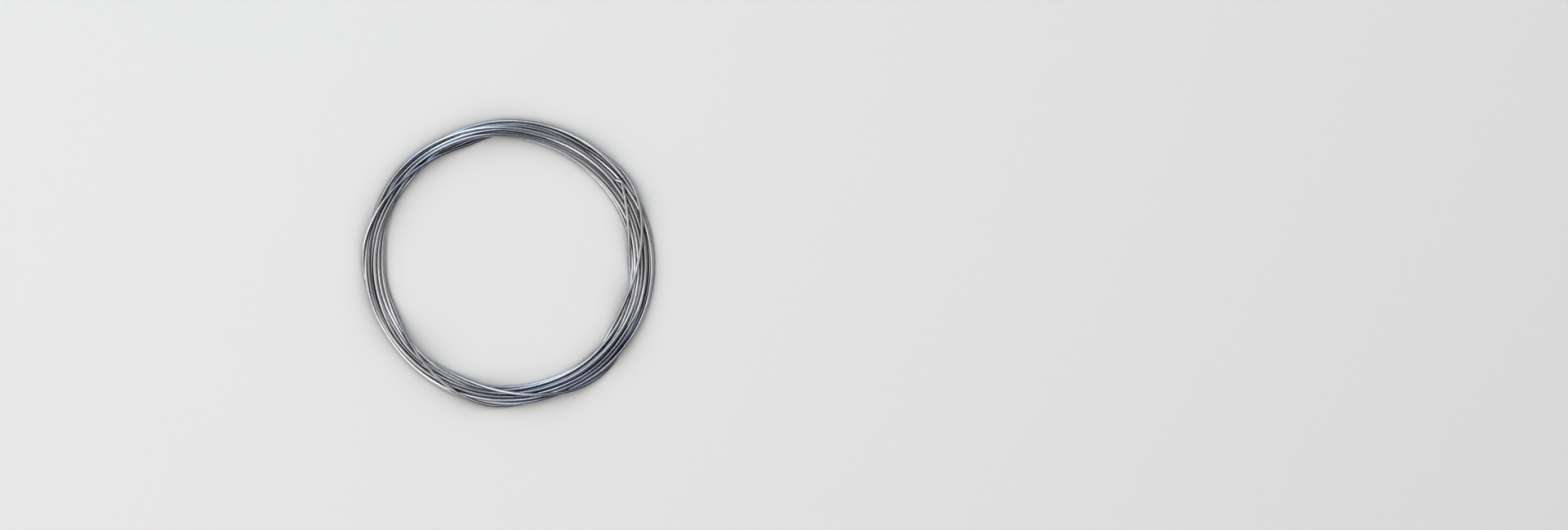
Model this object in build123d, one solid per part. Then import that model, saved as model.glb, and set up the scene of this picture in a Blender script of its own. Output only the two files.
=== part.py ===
from build123d import *
import os

# Coil of round nickel alloy wire, lying flat on the ground.
# Units are millimetres, +Z is up, the coil's axis is the Z axis and the
# ground is z = 0. The origin is on the axis, on the ground.
#
# The bundle of turns is one turned ring. Its section is as wide and as high
# as the real bundle, each turn that shows is a round ridge as wide as the
# wire, and the innermost turns make the bore.

# ---- driving dimensions ----------------------------------------------------
wire_d = 4.0            # diameter of the wire
bore_r = 146.0          # radius of the bore, where the innermost turns lie
outer_r = 178.0         # radius over the outermost turns
turns_across = 8        # turns side by side across the bundle
ridge_rise = 1.25       # how far a turn's crown stands over the groove beside it
land_half = 0.60        # half width of the flat that a bottom turn rests on

# height of the bundle over each of the turns across it, from the bore outwards
top_z = [9.8, 13.0, 15.8, 17.7, 18.4, 17.0, 13.8, 10.2]

bore_low_z = 3.2        # lower end of the straight bore wall
bore_high_z = 8.4       # upper end of the straight bore wall

# each turn's ridge is as wide as the wire
pitch = (outer_r - bore_r) / turns_across
assert abs(pitch - wire_d) < 1e-6
centres = [bore_r + pitch * (k + 0.5) for k in range(turns_across)]


def edge(a, b, bulge):
    """Arc from a to b that stands out by bulge to the right of the way."""
    dx, dz = b[0] - a[0], b[1] - a[1]
    run = (dx * dx + dz * dz) ** 0.5
    mid = ((a[0] + b[0]) / 2 + bulge * dz / run,
           (a[1] + b[1]) / 2 - bulge * dx / run)
    return ThreePointArc(a, mid, b)


# ---- section, drawn anticlockwise in the (radius, height) plane ------------
edges = []

# underside: the turns that rest on the ground, each with a narrow land, and a
# groove between each two of them
foot_left = (centres[0] - 0.1, 1.05)
foot_right = (centres[-1] + 0.1, 1.05)
grooves_low = [(centres[k] + pitch / 2, ridge_rise)
               for k in range(1, turns_across - 2)]
points_low = [foot_left] + [(centres[0] + pitch / 2, ridge_rise)] + grooves_low \
    + [(centres[-2] + pitch / 2, ridge_rise)] + [foot_right]

edges.append(edge(points_low[0], points_low[1], 0.42))
for k in range(1, turns_across - 1):
    a, b = points_low[k], points_low[k + 1]
    land_a = (centres[k] - land_half, 0.0)
    land_b = (centres[k] + land_half, 0.0)
    edges.append(edge(a, land_a, 0.30))
    edges.append(Line(land_a, land_b))
    edges.append(edge(land_b, b, 0.30))
edges.append(edge(points_low[-2], points_low[-1], 0.42))

# outside: the outermost turns stand over each other
out_a = (outer_r - 0.95, 3.70)
out_b = (outer_r - 0.95, 7.50)
edges.append(edge(foot_right, out_a, 0.95))
edges.append(edge(out_a, out_b, 0.95))

# top: one ridge for each turn across the bundle, with a groove between
grooves_top = []
for k in range(turns_across - 1):
    z = min(top_z[k], top_z[k + 1]) - 0.35 * ridge_rise
    z = z - 0.12 * abs(top_z[k] - top_z[k + 1])
    grooves_top.append((centres[k] + pitch / 2, z))
points_top = [out_b] + list(reversed(grooves_top)) + [(bore_r, bore_high_z)]
for k in range(len(points_top) - 1):
    a, b = points_top[k], points_top[k + 1]
    column = turns_across - 1 - k
    chord_z = (a[1] + b[1]) / 2
    run = ((b[0] - a[0]) ** 2 + (b[1] - a[1]) ** 2) ** 0.5
    lean = abs(b[0] - a[0]) / run
    rise = max(0.75, (top_z[column] - chord_z) * lean)
    edges.append(edge(a, b, min(rise, 0.42 * run)))

# bore: a straight wall as long as the stack of innermost turns
edges.append(Line((bore_r, bore_high_z), (bore_r, bore_low_z)))
edges.append(edge((bore_r, bore_low_z), foot_left, 0.60))

section = make_face(Wire(edges))
coil = revolve(Plane.XZ * section, axis=Axis.Z, revolution_arc=360)
solid = coil.solids()[0] if len(coil.solids()) == 1 else coil
solid.label = "wire_coil"

# ---- size of the real wire in the bundle -----------------------------------
box = solid.bounding_box()
section_area = section.area
print("section area mm2", round(section_area, 2))
print("box", [round(v, 3) for v in (box.min.X, box.min.Y, box.min.Z,
                                    box.max.X, box.max.Y, box.max.Z)])
print("volume mm3", round(solid.volume, 1))

os.makedirs("parts", exist_ok=True)
export_step(solid, "parts/wire_coil.step")
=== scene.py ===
import math

import bpy
import numpy as np
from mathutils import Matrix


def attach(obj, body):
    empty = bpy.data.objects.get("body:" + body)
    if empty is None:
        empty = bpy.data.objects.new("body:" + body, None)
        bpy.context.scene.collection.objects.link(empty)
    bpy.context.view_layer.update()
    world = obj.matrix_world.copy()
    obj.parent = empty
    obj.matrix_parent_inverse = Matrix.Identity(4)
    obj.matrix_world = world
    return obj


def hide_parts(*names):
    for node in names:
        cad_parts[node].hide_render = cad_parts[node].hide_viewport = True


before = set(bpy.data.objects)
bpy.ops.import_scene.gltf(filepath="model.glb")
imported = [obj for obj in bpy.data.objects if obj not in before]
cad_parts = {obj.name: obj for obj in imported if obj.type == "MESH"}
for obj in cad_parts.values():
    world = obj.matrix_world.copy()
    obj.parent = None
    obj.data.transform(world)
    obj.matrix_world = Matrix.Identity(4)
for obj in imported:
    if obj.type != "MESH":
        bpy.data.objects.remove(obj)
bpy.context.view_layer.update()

scene = bpy.context.scene

# ---------------------------------------------------------------------------
# Camera: straight above, as the photograph was taken. One photo pixel is one
# millimetre of the coil, and the coil's axis is at pixel (623.3, 322.6).
# ---------------------------------------------------------------------------
PHOTO_W, PHOTO_H = 1920, 649
AXIS_PX = (623.3, 322.6)
CAM_HEIGHT = 9.0

cam_data = bpy.data.cameras.new("camera")
cam = bpy.data.objects.new("camera", cam_data)
scene.collection.objects.link(cam)
cam_data.sensor_fit = "HORIZONTAL"
cam_data.sensor_width = 36.0
cam_data.lens = 36.0 * (CAM_HEIGHT - 0.010) / (PHOTO_W * 0.001)
cam_data.clip_start = 0.05
cam_data.clip_end = 100.0
cam.location = ((PHOTO_W / 2 - AXIS_PX[0]) * 0.001,
                -(PHOTO_H / 2 - AXIS_PX[1]) * 0.001, CAM_HEIGHT)
cam.rotation_euler = (0.0, 0.0, 0.0)
scene.camera = cam

# ---------------------------------------------------------------------------
# The winding. The wire is one length that goes round fifteen times. Each turn
# is a row of (angle in degrees, radius in mm, level, hold): level 0 is the
# lowest layer of turns, 2 the top one, 3 a turn that crosses over the others
# and -1 one that crosses under them; hold says how firmly the turn keeps its
# radius. Then the turns settle: they sink to the ground and press against
# each other until no two share the same room.
# ---------------------------------------------------------------------------
D = 4.0              # wire diameter, mm
S = 120              # places round a turn
START_DEG = 70.0     # the wire starts here, under the bundle
END_DEG = 34.5       # and leaves the lay here, on top of it

TURNS = [
    [(0,163,0,0),(70,164,0,0),(90,166,0,0),(120,167,0,0),(150,163,0,0),(180,159,0,0),(205,157.6,0,.2),(222,157.8,0,.6),(232,156.4,.2,.4),(242,155.2,.5,0),
     (255,154.5,.2,0),(262,152.8,0,1),(270,151.5,0,1),(285,151,0,1),(300,151,0,1),(315,151.5,0,1),(322,151.8,0,.5),
     (330,152.5,0,0),(345,153,0,0),(360,153,0,0)],
    [(0,153,0,0),(30,155,0,0),(60,157,0,0),(80,160.5,0,.2),(90,162,0,.4),(105,162.3,0,.3),(120,163,0,0),(150,164,0,0),
     (180,164.5,0,0),(210,164.3,0,.2),(225,164,0,.2),(240,165.5,0,0),(270,168,0,0),(300,168,0,0),(330,170.3,0,0),(360,172,0,0)],
    [(0,172,0,0),(30,173,0,0),(60,173.5,.3,0),(68,174.2,.8,1),(75,173.8,1,1),(80,173.3,1.2,1),(85,172.8,1.3,1),
     (90,172.5,1.6,1),(95,171.8,1.6,1),(100,170.8,1.6,1),(105,170.3,1.2,.5),(110,169.8,.9,1),(115,169.4,.7,1),(120,169.5,.7,1),
     (125,170.4,.7,.8),(135,172,.7,.3),(150,173,.7,0),(180,171.5,.5,0),(195,170,.5,.5),(205,168.6,.5,1),(215,168,.5,1),
     (225,168,.4,1),(235,168.6,.3,.6),(245,169.5,.3,.2),(270,170.8,0,.3),(285,170,0,.5),(300,171,0,.5),(315,172.5,0,.5),
     (330,174.5,0,.5),(345,176.8,0,1),(360,177,0,1)],
    [(0,176.5,0,1),(15,176.5,0,1),(30,175.6,.3,.5),(45,175.3,.7,1),(60,175.1,1,1),(75,175,1,1),(90,174.8,1.5,1),
     (95,174.8,1.6,1),(100,174.3,1.7,1),(105,173.2,1.7,1.5),(110,172.1,1.5,2.5),(115,171.6,1,2.5),(120,172,.7,2),(125,173.5,.5,1),
     (130,175.2,.5,1),(135,176.3,.5,1),(145,177,.5,1),(160,176.3,.3,1),(165,175.6,.3,1),(175,174.8,.3,1),(190,174.8,.3,1),
     (200,174.1,.2,1),(205,173.2,.1,1),(210,171.9,0,1),(220,171.6,0,1),(230,171.3,.3,1),(235,171.8,1,1),(240,172.6,1.3,1),
     (245,172.6,1.3,1),(250,172,1,1),(255,171.7,1,.3),(270,171.8,.7,.5),(280,171.3,.5,1),(285,170.9,.3,1),
     (290,171,.3,1),(295,171.4,.3,1),(300,172.2,.3,1),(315,173.4,.5,1),(325,174.3,.7,1),(330,175,1,1),(335,175.6,1,1),
     (345,175.7,1,1),(360,174.8,1,1)],
    [(0,174.8,1,1),(5,174.2,1,1),(15,173.5,1,1),(20,172.8,1,1),(30,171.2,1,1),(35,170.5,1.2,1),(40,169.7,1.5,1),
     (45,169.1,1.8,1),(50,168.3,2,1),(55,167.4,2,1),(60,166.6,2,1),(70,167,2,1),(75,167.6,2,1),(80,168.2,2,1),
     (85,168.6,1.9,1),(90,168.8,1.8,1),(95,169,1.6,1),(100,169.2,1.5,.5),(105,168.8,1.2,0),(115,168.8,.8,0),(135,167.5,.7,0),
     (150,166,.5,0),(180,163,.5,0),(210,161,.5,0),(240,160.5,.3,0),(270,160,.3,0),(300,159.5,.3,0),(330,159,.2,0),(360,158,0,0)],
    [(0,158,0,0),(15,158.5,0,0),(30,158.5,.3,0),(40,157.8,.8,1),(45,157.5,1,1),(60,157.3,1,1),(65,157.4,.8,.5),
     (75,158,.3,0),(90,160,.3,0),(105,161.5,.2,0),(120,161.8,.5,0),(135,161.5,1,.3),(145,161.3,1.7,1),(150,161.3,2,1),
     (155,161.8,2,1),(160,162.7,2,1),(165,163.7,2,1),(170,164.3,2,1),(175,164.7,2,1),(180,164.8,2,1),(195,165,2,1),
     (200,164.7,2,1),(205,164.2,2,1),(215,164.4,2,1),(220,164.1,2,1),(225,163.5,2,1),(230,162.9,2,1),(235,162,2,1),
     (240,161.3,2,1),(245,161,2,1),(250,160.5,2,1),(255,160.2,2,1),(265,159.5,2,1),(275,159,2,1),(285,158.8,2,1),
     (300,158.9,2,1),(315,159,2,1),(325,159.3,2,1),(335,160.2,2,1),(340,159.8,2,1),(345,159.3,2,1),(355,158.8,2,1),(360,158,2,1)],
    [(0,158,2,1),(5,157.6,2,1),(10,158.2,2,1),(15,158.5,2,1),(20,158.5,2,1),(25,157.8,2,1),(30,157,2,1),(35,156.2,2,1),
     (40,154.9,2,1),(45,154.3,2,1),(50,154,2,1),(60,153.8,2,1),(70,154.3,2,1),(75,155,2,1),(80,155.7,2,1),(85,156.8,2,1),
     (90,158,2,1),(95,159,2,1),(100,159.9,2,1),(105,160.9,2,1),(110,161.8,2,1),(115,162.7,2,1),(120,163.5,2,1),
     (125,164.3,2,1),(130,165.3,2,1),(135,166,2,1),(140,166,2,1),(145,165.8,2,1),(150,165.7,2,1),(155,166.2,2,1),
     (160,166.8,2,1),(165,167.6,2,1),(175,167.9,2,1),(180,168.4,1.7,1),(190,169.6,1.4,.5),(195,169.8,1.2,.3),(205,169,1,0),
     (225,166.5,1,0),(240,165,1,0),(250,165.8,1.4,.5),(255,166.2,1.8,1),(260,166.1,1.8,1),(265,165.3,1.3,.5),(270,164.5,1,0),
     (285,161.8,.8,0),(300,162,.8,0),(315,162.3,1,.3),(325,163.3,1.8,1),(335,163.2,2,1),(345,163.1,2,1),(355,162.9,2,1),(360,162.5,2,1)],
    [(0,162.5,2,1),(15,162,2,1),(30,161.5,2,1),(45,161.2,2,1),(60,160.4,2,1),(75,160.7,2,1),(80,161.3,2,1),(85,162.3,2,1),
     (90,163.6,2,1),(95,164.3,2,1),(105,165.2,2,1),(120,167.2,2,1),(135,169.7,2,1),(140,170.6,2,1),(145,170.8,2,1),
     (150,170.6,2,1),(160,170.5,2,1),(165,171.5,2,1),(170,172,2,1),(175,171.4,2,1),(180,171.7,2,1),(195,171.9,2,1),
     (200,171.4,2,1),(205,170.5,2,1),(210,169.4,2,1),(220,168.6,2,1),(225,167.9,2,1),(230,167.1,2,1),(235,166.8,2,1),
     (240,165.8,2,1),(245,164.9,2,1),(250,164.5,2,1),(265,163.8,2,1),(285,163.3,2,1),(300,164.2,2,1),(315,164.6,2,1),
     (325,165.4,2,1),(335,166.2,2,1),(345,166.9,2,1),(360,167.4,2,1)],
    [(0,167.4,2,1),(15,166.4,2,1),(30,165.9,2,1),(45,164.9,2,1),(50,164.6,2.2,1),(55,163.9,2.5,1),(60,163.4,2.7,1),
     (75,163.5,2.7,1),(85,164.9,2.6,1),(90,166,2.5,1),(95,167.3,2.5,1),(100,168.4,2.5,1),(105,169.6,2.4,1),(110,171,2.3,1),
     (115,171.9,2.2,1),(120,172.4,2,1),(125,173.6,2,1),(130,174.8,2,1),(135,175.5,2,1),(140,175.8,2,1),(150,175.4,2,1),
     (170,175.2,2,1),(180,175.6,2,1),(190,175.2,2,1),(200,174.2,2,1),(205,173.3,2,1),(210,172.2,2,1),(220,172,2,1),
     (225,171.8,2,1),(230,171.3,2,1),(240,171.1,2,1),(250,169.8,2,1),(255,169.4,2,1),(265,168.2,2,1),(275,167.5,2,1),
     (285,167.3,2,1),(300,168.1,2,1),(315,168.6,2,1),(325,168.9,1.9,1),(330,168.7,1.7,1),(340,168.9,1.2,.4),(345,169,1,0),(360,169.9,.6,0)],
    [(0,169.9,.6,0),(15,171,.5,0),(30,171.5,.5,0),(45,171,.5,.3),(52,170.2,.7,1),(60,169.9,.9,1),(65,169.9,1,1),(70,170,1.1,1),
     (75,170.2,1.2,1),(80,170.1,1.2,.6),(90,170,1,.2),(105,170,1,.5),(115,169.8,1,.5),(125,170,1,.2),(135,169,1,0),(150,167.5,1,0),
     (165,166,.8,0),(180,165,.6,0),(195,163.5,.8,0),(203,162.6,1.3,.7),(210,161.7,1.7,1),(215,160.9,1.8,1),(220,160.4,1.8,1),
     (225,160,1.8,1),(230,159.2,1.7,1),(235,158.4,1.7,1),(240,157.9,1.5,1),(245,157.5,1.2,.4),(255,158.5,.5,0),(270,160,.5,0),
     (285,161,1,.5),(300,161.3,1,1),(315,161.2,1,.5),(330,161,.5,0),(345,160.5,.5,0),(360,160,.5,0)],
    [(0,160,.5,0),(15,160,.2,0),(30,160,0,0),(60,159.5,0,0),(75,160.5,0,0),(90,162,0,0),(105,163.5,.2,0),(120,164,.2,0),
     (135,163.5,.2,0),(150,162,.6,0),(160,160.9,1,1),(170,160.8,1.2,1),(180,160.2,1.6,1),(190,160.6,1.6,1),(195,160.2,1.6,1),
     (200,159.1,1.6,1),(205,158.5,1.6,1),(215,157.8,1.6,1),(225,157.6,1,.3),(240,158.6,.7,0),(255,158.2,.5,0),(270,157.5,.6,0),
     (280,156.6,1,.6),(285,156.7,1.3,1),(300,157,1.5,1),(315,157.3,1.6,1),(325,157.4,1.8,1),(330,157.5,1.9,1),(335,157,2,1),
     (340,156.3,2,1),(345,156,2,1),(350,155.3,1.9,1),(355,154.6,1.6,1),(360,154.2,1.4,1)],
    [(0,154.2,1.4,1),(5,153.7,1.5,1),(10,154.8,1.6,1),(15,155,1.7,1),(20,154,1.8,1),(25,152.6,2,1),(30,152.3,2,1),
     (35,151.7,2,1),(45,150.7,2,1),(60,150.7,1.7,1),(65,151.2,1.5,1),(70,151.9,1.2,1),(75,152.6,1,1),(80,153.3,.9,1),
     (85,155.1,.8,1),(90,157.5,.8,1),(95,158.6,.9,1),(100,160,1,1),(105,161,1,1),(120,161.5,1,1),(128,160.8,1,.8),(135,160,1,.8),
     (150,158.9,1,1),(160,158.7,1,1),(165,158.1,1,1),(170,156.9,1,1),(175,155.7,1,1),(180,155.4,1,1),(190,155.3,1,1),
     (200,154.4,1,1),(210,155.4,1,1),(217,156.6,1,1),(225,156.6,1,1),(232,155.4,1,1),(240,155.4,1,1),(250,156.1,1.3,1),(260,156.9,1.3,1),
     (265,156,1.3,1),(270,154.9,1.3,1),(275,154,1.3,1),(280,153.3,1.3,1),(285,152.9,1.3,1),(300,152.5,1.3,1),(315,152.6,1.3,1),
     (325,152.3,1.3,1),(335,152.5,1.3,1),(345,152.3,1.2,1),(350,151.4,1.2,1),(355,151,1.2,1),(360,150.7,1,1)],
    [(0,150.7,1,1),(5,150.4,.9,1),(10,150.3,.8,1),(15,150.1,.6,1),(20,149.9,.4,1),(30,149.4,.1,1),(45,148.7,0,1),(50,148.8,0,1),
     (60,150,0,.3),(75,152.8,0,.3),(82,155,0,.7),(90,158.3,0,1),(95,159,0,1),(105,159.3,0,.6),(120,158.8,0,.6),(130,159.4,0,1),
     (140,159,0,1),(150,158.6,0,1),(160,158.2,0,1),(165,156.6,0,1),(170,154.2,0,1),(175,152.9,0,1),(180,152.8,.3,1),(187,153.2,.6,1),(195,152.2,.8,1),
     (200,151.8,1,1),(205,152,1.5,1),(210,152.8,2.1,1),(215,154.2,2.7,1),(220,155.8,3,1),(225,158,3,1),(230,160.3,3,1),
     (235,163.1,3,1),(240,165.9,3,1),(245,168.8,3,1),(250,171.4,2.9,1),(255,173.4,2.5,1),(260,174.4,2,1),(265,174.5,1.2,1),
     (270,174,.3,1),(275,172.8,-.6,.6),(280,171.2,-1,.3),(290,167,-1,.3),(300,162,-1,.3),(310,156.5,-1,.3),(318,151.7,-.6,.5),
     (324,149.6,-.2,1),(330,149.3,.2,1),(335,149.3,.8,1),(340,149.8,1.6,1),(345,151.1,2.4,1),(350,152.8,2.9,1),(355,155.2,3,1),(360,158.1,3,1)],
    [(0,158.1,3,1),(5,161.3,3,1),(10,165,3,1),(15,168.6,3,1),(20,172.5,3,1),(25,175.4,2.8,1),(30,177.3,2.3,1),(35,178.1,1.9,1),
     (40,178.2,1.6,1),(45,177.9,1,1),(48,176.8,.4,1),(51,175.2,-.3,.8),(57,173,-1,.3),(70,168.5,-1,.3),(80,165,-1,.3),
     (90,161.4,-1,.4),(95,159.5,-.8,.6),(100,157.7,-.3,1),(105,155.8,0,1),(110,155.1,.4,1),(115,155.4,.8,1),(120,156.4,1.4,1),
     (125,157.8,2.2,1),(130,159.6,2.8,1),(135,161.4,3,1),(140,163.8,3,1),(145,166.6,3,1),(150,169.2,3,1),(155,171.6,3,1),
     (160,173.8,3,1),(165,175.8,2.8,1),(170,177.6,2.4,1),(175,178.6,2,1),(180,178.7,1.3,1),(184,178.2,.6,1),(188,177,-.2,.6),(193,174.7,-.8,.3),
     (200,171.4,-1,.3),(210,165.5,-1,.3),(220,159.6,-1,.3),(228,155.2,-.8,.5),(233,153.2,-.3,1),(238,152.4,0,1),(245,152.3,.4,1),
     (250,152.5,.9,1),(255,153.1,1.6,1),(260,154.2,2.4,1),(265,155.8,2.9,1),(270,158,3,1),(275,160.5,3,1),(280,163,3,1),
     (285,166,3,1),(290,169.5,3,1),(295,172.9,2.9,1),(300,175,2.5,1),(305,175.9,2,1),(310,176.8,1.4,1),(315,176.4,.6,1),
     (320,174.6,-.3,.6),(325,171.5,-1,.3),(335,162.5,-1,.5),(340,158,-1,1.5),(344,154.8,-.9,3),(348,152.4,-.6,3),(351,150.8,-.2,3),
     (354,149.3,0,2),(357,148.2,.4,1),(360,147.8,.7,1)],
    [(0,147.8,.7,1),(5,148,1.2,1),(10,149.4,2,1),(15,151.5,2.7,1),(20,154.5,3,1),(25,158.4,3,1),(30,163.5,3,1),(33,166.6,3,1),
     (36,169.6,3,1),(60,178,3,0),(360,178,3,0)],
]


def monotone(xs, ys, x):
    """Smooth values through the given ones that never overshoot them."""
    xs, ys = np.asarray(xs, float), np.asarray(ys, float)
    h = np.diff(xs)
    slope = np.diff(ys) / h
    m = np.zeros(len(xs))
    for i in range(1, len(xs) - 1):
        if slope[i - 1] * slope[i] > 0:
            a = 2 * h[i] + h[i - 1]
            b = h[i] + 2 * h[i - 1]
            m[i] = (a + b) / (a / slope[i - 1] + b / slope[i])
    m[0], m[-1] = slope[0], slope[-1]
    k = np.clip(np.searchsorted(xs, x, side="right") - 1, 0, len(xs) - 2)
    t = (x - xs[k]) / h[k]
    return ((2*t**3 - 3*t**2 + 1) * ys[k] + (t**3 - 2*t**2 + t) * h[k] * m[k]
            + (-2*t**3 + 3*t**2) * ys[k + 1] + (t**3 - t**2) * h[k] * m[k + 1])


def wind():
    """The wire's centre at each place round each turn: radius, height, and
    which of them the wire has."""
    n_turns = len(TURNS)
    angle = np.arange(S) * 360.0 / S
    want = np.zeros((n_turns, S))
    level = np.zeros((n_turns, S))
    hold = np.zeros((n_turns, S))
    for t, rows in enumerate(TURNS):
        tab = np.array(rows, float)
        want[t] = monotone(tab[:, 0], tab[:, 1], angle)
        level[t] = np.interp(angle, tab[:, 0], tab[:, 2])
        hold[t] = np.interp(angle, tab[:, 0], tab[:, 3])
    first = int(round(START_DEG / 360 * S))
    last = (n_turns - 1) * S + int(np.floor(END_DEG / 360 * S))
    place = np.arange(n_turns * S)
    there = ((place >= first) & (place <= last)).reshape(n_turns, S)
    r = want.copy()
    z = D / 2 + (level + 1.0) * 5.6
    pull = np.where(hold > 0, 0.02 + 0.13 * hold, 0.004)
    one, two = np.triu_indices(n_turns, 1)
    both = there[one] & there[two]

    def smooth(a, k):
        s = a.reshape(-1)[first:last + 1]
        d2 = np.zeros_like(s)
        d2[1:-1] = s[2:] - 2 * s[1:-1] + s[:-2]
        d4 = np.zeros_like(s)
        d4[1:-1] = d2[2:] - 2 * d2[1:-1] + d2[:-2]
        s -= k * d4 / 16.0

    def press(k):
        dr = r[one] - r[two]
        dz = z[one] - z[two]
        gap = np.sqrt(dr * dr + dz * dz) + 1e-9
        push = np.where(both, np.maximum(1.004 * D - gap, 0), 0) * 0.5 * k / gap
        move_r = np.zeros_like(r)
        move_z = np.zeros_like(z)
        np.add.at(move_r, one, push * dr)
        np.add.at(move_r, two, -push * dr)
        np.add.at(move_z, one, push * dz)
        np.add.at(move_z, two, -push * dz)
        r[...] += move_r
        z[...] += move_z
        np.maximum(z, D / 2, out=z)

    rounds = 1400
    for i in range(rounds):
        u = i / rounds
        z -= 0.05 if u < 0.55 else 0.05 * (1 - (u - 0.55) / 0.45) ** 1.5
        r += pull * (want - r) * (1.0 if u < 0.8 else 0.4)
        for _ in range(2):
            smooth(r, 0.8)
            smooth(z, 0.8)
        for _ in range(3):
            press(0.7)
    for i in range(200):
        smooth(r, 0.15)
        smooth(z, 0.15)
        for _ in range(3):
            press(0.6)
    return angle, r, z, there


angle, lay_r, lay_z, lay_there = wind()
keep = lay_there.reshape(-1)
theta = np.radians(np.tile(angle, len(TURNS)))[keep]
route_r = lay_r.reshape(-1)[keep]
route_z = lay_z.reshape(-1)[keep]

# a spline of order 3 runs a little inside its points on a bend
route_r = route_r * (1.0 + (1.0 - math.cos(math.radians(180.0 / S))) * 0.6)
route = [(r * math.cos(a) * 0.001, r * math.sin(a) * 0.001, z * 0.001)
         for a, r, z in zip(theta, route_r, route_z)]

# the free end: it rises over the turn below it, then is bent back and down
z_end = route[-1][2]
for a, r, dz in [(35.1, 169.2, 1.2), (35.7, 170.3, 1.8), (36.5, 169.4, 1.5),
                 (37.3, 167.5, 0.9), (38.2, 165.3, 0.1)]:
    route.append((r * 0.001 * math.cos(math.radians(a)),
                  r * 0.001 * math.sin(math.radians(a)), z_end + dz * 0.001))

curve = bpy.data.curves.new("wire_route", "CURVE")
curve.dimensions = "3D"
spline = curve.splines.new("NURBS")
spline.points.add(len(route) - 1)
for p, co in zip(spline.points, route):
    p.co = (*co, 1.0)
spline.order_u = 3
spline.use_endpoint_u = True
curve.resolution_u = 2
route_ob = bpy.data.objects.new("wire_route", curve)
scene.collection.objects.link(route_ob)
bpy.context.view_layer.update()
line = bpy.data.meshes.new_from_object(route_ob)
pts = np.empty(len(line.vertices) * 3)
line.vertices.foreach_get("co", pts)
pts = pts.reshape(-1, 3)
bpy.data.objects.remove(route_ob)
bpy.data.meshes.remove(line)
bpy.data.curves.remove(curve)
step = np.linalg.norm(np.diff(pts, axis=0), axis=1)
pts = pts[np.concatenate([[True], step > 1e-6])]


def unit(v):
    return v / np.linalg.norm(v, axis=-1, keepdims=True)


def wire_mesh(name, pts, radius, sides=20):
    """A round wire along the points, cut off square at both ends, with the
    wire's own unrolled coordinates kept on it."""
    n = len(pts)
    tangent = unit(np.gradient(pts, axis=0))
    side = unit(np.cross(np.array([0.0, 0.0, 1.0]), tangent))
    up = np.cross(tangent, side)
    run = np.concatenate([[0.0], np.cumsum(np.linalg.norm(np.diff(pts, axis=0), axis=1))])
    phi = np.arange(sides) * 2 * np.pi / sides
    ring = (np.cos(phi)[None, :, None] * side[:, None, :]
            + np.sin(phi)[None, :, None] * up[:, None, :])
    verts = pts[:, None, :] + radius * ring
    lay = np.empty((n, sides, 3))
    lay[:, :, 0] = radius * np.cos(phi)[None, :]
    lay[:, :, 1] = radius * np.sin(phi)[None, :]
    lay[:, :, 2] = run[:, None]
    verts = verts.reshape(-1, 3)
    lay = lay.reshape(-1, 3)
    i = np.arange(n - 1)[:, None] * sides
    j = np.arange(sides)[None, :]
    k = (j + 1) % sides
    quads = np.stack([i + j, i + k, i + sides + k, i + sides + j], axis=-1).reshape(-1, 4)
    faces = [tuple(q) for q in quads.tolist()]
    # cut ends: a small burred edge, then the flat of the cut
    extra, extra_lay = [], []
    for end, way in ((0, -1.0), (n - 1, 1.0)):
        base = end * sides
        at = len(verts) + len(extra)
        for q in range(sides):
            extra.append(pts[end] + 0.90 * radius * ring[end, q]
                         + way * tangent[end] * 0.00018)
            extra_lay.append((0.9 * lay[base + q][0], 0.9 * lay[base + q][1],
                              run[end] + way * 0.0002))
        extra.append(pts[end] + way * tangent[end] * 0.00022)
        extra_lay.append((0.0, 0.0, run[end] + way * 0.0004))
        mid = len(verts) + len(extra) - 1
        for q in range(sides):
            w = (q + 1) % sides
            if way > 0:
                faces.append((base + q, base + w, at + w, at + q))
                faces.append((at + q, at + w, mid))
            else:
                faces.append((base + w, base + q, at + q, at + w))
                faces.append((at + w, at + q, mid))
    verts = np.concatenate([verts, np.array(extra)])
    lay = np.concatenate([lay, np.array(extra_lay)])
    mesh = bpy.data.meshes.new(name)
    mesh.from_pydata(verts.tolist(), [], faces)
    smooth = np.ones(len(faces), dtype=bool)
    smooth[len(quads):] = False
    mesh.polygons.foreach_set("use_smooth", smooth)
    own = mesh.attributes.new("lay", "FLOAT_VECTOR", "POINT")
    own.data.foreach_set("vector", lay.astype(np.float32).reshape(-1))
    mesh.update()
    mesh.validate()
    ob = bpy.data.objects.new(name, mesh)
    scene.collection.objects.link(ob)
    return ob, float(run[-1])


wire, wire_length = wire_mesh("wire", pts, D * 0.0005)
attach(wire, "root")
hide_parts("wire_coil")
print("wire length", round(wire_length, 3), "rings", len(pts),
      "triangles", len(wire.data.polygons) * 2)

# ---------------------------------------------------------------------------
# Drawn nickel alloy: bright, with fine lines left by the die along the wire,
# lighter and darker stretches along its length (partly its own tone, partly
# painted light and shade) and a few dull rubbed places.
# ---------------------------------------------------------------------------


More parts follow.
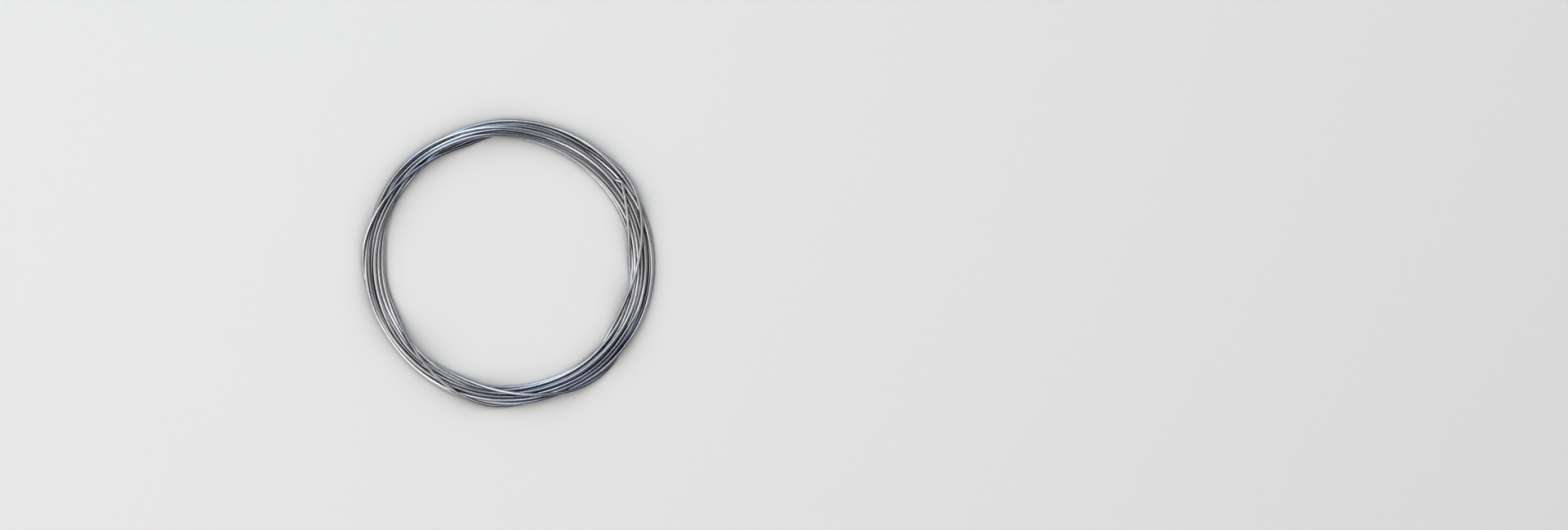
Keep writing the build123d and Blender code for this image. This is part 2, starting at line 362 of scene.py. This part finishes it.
def drawn_wire():
    mat = bpy.data.materials.new("drawn_nickel")
    mat.use_nodes = True
    nt = mat.node_tree
    nt.nodes.clear()
    out = nt.nodes.new("ShaderNodeOutputMaterial")
    bsdf = nt.nodes.new("ShaderNodeBsdfPrincipled")
    nt.links.new(bsdf.outputs["BSDF"], out.inputs["Surface"])
    bsdf.inputs["Metallic"].default_value = 1.0
    att = nt.nodes.new("ShaderNodeAttribute")
    att.attribute_name = "lay"

    def noise(scale, detail=2.0, rough=0.5, start=0.0):
        m = nt.nodes.new("ShaderNodeMapping")
        m.inputs["Location"].default_value = (0.0, 0.0, start)
        m.inputs["Scale"].default_value = scale
        nt.links.new(att.outputs["Vector"], m.inputs["Vector"])
        n = nt.nodes.new("ShaderNodeTexNoise")
        n.inputs["Scale"].default_value = 1.0
        n.inputs["Detail"].default_value = detail
        n.inputs["Roughness"].default_value = rough
        nt.links.new(m.outputs["Vector"], n.inputs["Vector"])
        return n.outputs["Fac"]

    def ramp(fac, stops):
        c = nt.nodes.new("ShaderNodeValToRGB")
        el = c.color_ramp.elements
        el[0].position, el[0].color = stops[0][0], (*stops[0][1], 1)
        el[1].position, el[1].color = stops[1][0], (*stops[1][1], 1)
        for pos, col in stops[2:]:
            e = el.new(pos)
            e.color = (*col, 1)
        nt.links.new(fac, c.inputs["Fac"])
        return c.outputs["Color"]

    def span(fac, a, b, lo, hi):
        m = nt.nodes.new("ShaderNodeMapRange")
        m.inputs["From Min"].default_value = a
        m.inputs["From Max"].default_value = b
        m.inputs["To Min"].default_value = lo
        m.inputs["To Max"].default_value = hi
        nt.links.new(fac, m.inputs["Value"])
        return m.outputs["Result"]

    def math_(op, a, b):
        m = nt.nodes.new("ShaderNodeMath")
        m.operation = op
        for k, v in enumerate((a, b)):
            if isinstance(v, (int, float)):
                m.inputs[k].default_value = v
            else:
                nt.links.new(v, m.inputs[k])
        return m.outputs[0]

    def mix(fac, a, b, kind="MIX"):
        m = nt.nodes.new("ShaderNodeMix")
        m.data_type = "RGBA"
        m.blend_type = kind
        if isinstance(fac, (int, float)):
            m.inputs[0].default_value = fac
        else:
            nt.links.new(fac, m.inputs[0])
        for k, v in ((6, a), (7, b)):
            if isinstance(v, tuple):
                m.inputs[k].default_value = (*v, 1)
            else:
                nt.links.new(v, m.inputs[k])
        return m.outputs[2]

    # lighter and darker stretches along the wire, partly the wire's own tone and partly painted light and shade
    # standing in for turns that catch or miss the light: metres, so 4 is a change about every 25 cm
    tone_and_shade_noise = noise((60, 60, 4), 3.0, start=7.3)
    tone_and_painted_shade = ramp(tone_and_shade_noise, [(0.38, (0.36, 0.365, 0.385)), (0.62, (0.80, 0.80, 0.79))])
    # die lines: fine round the wire, long along it
    lines = noise((4200, 4200, 7), 3.0, 0.6)
    lined = mix(span(lines, 0.35, 0.7, 0.0, 0.34), tone_and_painted_shade, (0.45, 0.455, 0.47))
    # rubbed and dull places
    rub = noise((900, 900, 120), 4.0, 0.65)
    rubbed = span(rub, 0.60, 0.72, 0.0, 1.0)
    colour = mix(math_("MULTIPLY", rubbed, 0.35), lined, (0.42, 0.42, 0.425))
    nt.links.new(colour, bsdf.inputs["Base Color"])

    rough = span(lines, 0.3, 0.75, 0.19, 0.27)
    rough = math_("ADD", rough, span(tone_and_shade_noise, 0.3, 0.7, -0.02, 0.03))
    rough = math_("ADD", rough, math_("MULTIPLY", rubbed, 0.06))
    nt.links.new(rough, bsdf.inputs["Roughness"])

    bump = nt.nodes.new("ShaderNodeBump")
    bump.inputs["Strength"].default_value = 0.30
    bump.inputs["Distance"].default_value = 0.000008
    nt.links.new(lines, bump.inputs["Height"])
    scuff = nt.nodes.new("ShaderNodeBump")
    scuff.inputs["Strength"].default_value = 0.20
    scuff.inputs["Distance"].default_value = 0.00002
    nt.links.new(rub, scuff.inputs["Height"])
    nt.links.new(bump.outputs["Normal"], scuff.inputs["Normal"])
    nt.links.new(scuff.outputs["Normal"], bsdf.inputs["Normal"])
    return mat


wire.data.materials.append(drawn_wire())

# ---------------------------------------------------------------------------
# Floor, lights and surroundings
# ---------------------------------------------------------------------------
floor_mesh = bpy.data.meshes.new("floor")
half = 8.0
floor_mesh.from_pydata([(-half, -half, -0.0002), (half, -half, -0.0002),
                        (half, half, -0.0002), (-half, half, -0.0002)],
                       [], [(0, 1, 2, 3)])
floor = bpy.data.objects.new("floor", floor_mesh)
scene.collection.objects.link(floor)
floor_mat = bpy.data.materials.new("pale_floor")
floor_mat.use_nodes = True
fb = floor_mat.node_tree.nodes["Principled BSDF"]
fb.inputs["Base Color"].default_value = (0.350, 0.347, 0.341, 1)
fb.inputs["Roughness"].default_value = 0.75
fb.inputs["Specular IOR Level"].default_value = 0.2
floor_mesh.materials.append(floor_mat)


def area(name, azimuth, elevation, distance, size, bright, colour, turn=0.0):
    """A soft light that looks at the coil. size is (level side, other side),
    bright is how bright its face is, and turn is the way its long side lies
    for a light straight overhead."""
    data = bpy.data.lights.new(name, "AREA")
    data.shape = "RECTANGLE"
    data.size, data.size_y = size
    data.energy = bright * math.pi * size[0] * size[1]
    data.color = colour
    ob = bpy.data.objects.new(name, data)
    az, el = math.radians(azimuth), math.radians(elevation)
    ob.location = (distance * math.cos(el) * math.cos(az),
                   distance * math.cos(el) * math.sin(az),
                   distance * math.sin(el))
    if elevation > 89.0:
        ob.rotation_euler = (0.0, 0.0, math.radians(turn))
    else:
        ob.rotation_euler = (math.radians(90.0 - elevation), 0.0, az + math.pi / 2)
    ob.visible_camera = False
    scene.collection.objects.link(ob)
    return ob


area("light_key", 114, 45, 3.2, (1.70, 4.40), 1.12, (0.73, 0.855, 1.0))
area("light_west", 169, 45, 3.2, (2.10, 4.80), 0.79, (1.0, 0.965, 0.92))
area("light_southwest", 225, 45, 3.2, (2.20, 4.80), 0.84, (1.0, 0.97, 0.935))
area("light_south", 258, 45, 3.2, (1.00, 4.60), 0.36, (0.90, 0.95, 1.0))
area("light_northeast", 48, 45, 3.2, (2.80, 4.80), 0.50, (1.0, 0.975, 0.94))
area("light_east", 355, 45, 3.2, (1.60, 4.80), 0.40, (1.0, 0.975, 0.94))
area("light_southeast", 292, 45, 3.2, (1.40, 4.40), 0.12, (0.73, 0.855, 1.0))
# the floor's own even light, which the metal doesn't mirror
fill = area("light_floor", 0, 90, 4.0, (26.0, 26.0), 1.02, (1.0, 1.0, 1.0))
fill.visible_glossy = False

world = bpy.data.worlds.new("studio")
scene.world = world
world.use_nodes = True
wt = world.node_tree
wt.nodes.clear()
w_out = wt.nodes.new("ShaderNodeOutputWorld")
bg = wt.nodes.new("ShaderNodeBackground")
wt.links.new(bg.outputs[0], w_out.inputs["Surface"])
coord = wt.nodes.new("ShaderNodeTexCoord")
sep = wt.nodes.new("ShaderNodeSeparateXYZ")
wt.links.new(coord.outputs["Generated"], sep.inputs[0])


def w_math(op, a, b=None):
    m = wt.nodes.new("ShaderNodeMath")
    m.operation = op
    for k, v in enumerate((a, b)):
        if v is None:
            continue
        if isinstance(v, (int, float)):
            m.inputs[k].default_value = v
        else:
            wt.links.new(v, m.inputs[k])
    return m.outputs[0]


# the studio is dark blue overhead and towards its dark ends, and grey towards
# its light ends: how far a direction leans towards those
az0 = math.radians(27.0)
lean = w_math("ADD", w_math("MULTIPLY", sep.outputs["X"], math.cos(az0)),
              w_math("MULTIPLY", sep.outputs["Y"], math.sin(az0)))
lean = w_math("ABSOLUTE", lean)
w_ramp = wt.nodes.new("ShaderNodeValToRGB")
el = w_ramp.color_ramp.elements
el[0].position, el[0].color = 0.14, (0.008, 0.019, 0.058, 1)
el[1].position, el[1].color = 0.62, (0.055, 0.055, 0.06, 1)
wt.links.new(lean, w_ramp.inputs["Fac"])
# pale walls stand round it, low down
wall_ramp = wt.nodes.new("ShaderNodeValToRGB")
el = wall_ramp.color_ramp.elements
el[0].position, el[0].color = 0.08, (0.62, 0.62, 0.62, 1)
el[1].position, el[1].color = 0.28, (0.0, 0.0, 0.0, 1)
wt.links.new(sep.outputs["Z"], wall_ramp.inputs["Fac"])
w_add = wt.nodes.new("ShaderNodeMix")
w_add.data_type = "RGBA"
w_add.blend_type = "ADD"
w_add.inputs[0].default_value = 1.0
wt.links.new(w_ramp.outputs["Color"], w_add.inputs[6])
wt.links.new(wall_ramp.outputs["Color"], w_add.inputs[7])
light_path = wt.nodes.new("ShaderNodeLightPath")
w_mix = wt.nodes.new("ShaderNodeMix")
w_mix.data_type = "RGBA"
wt.links.new(light_path.outputs["Is Camera Ray"], w_mix.inputs[0])
wt.links.new(w_add.outputs[2], w_mix.inputs[6])
w_mix.inputs[7].default_value = (0.50, 0.502, 0.508, 1)
wt.links.new(w_mix.outputs[2], bg.inputs["Color"])
bg.inputs["Strength"].default_value = 1.0

scene.view_settings.view_transform = "Standard"
scene.view_settings.exposure = 0.66
scene.view_settings.gamma = 0.60
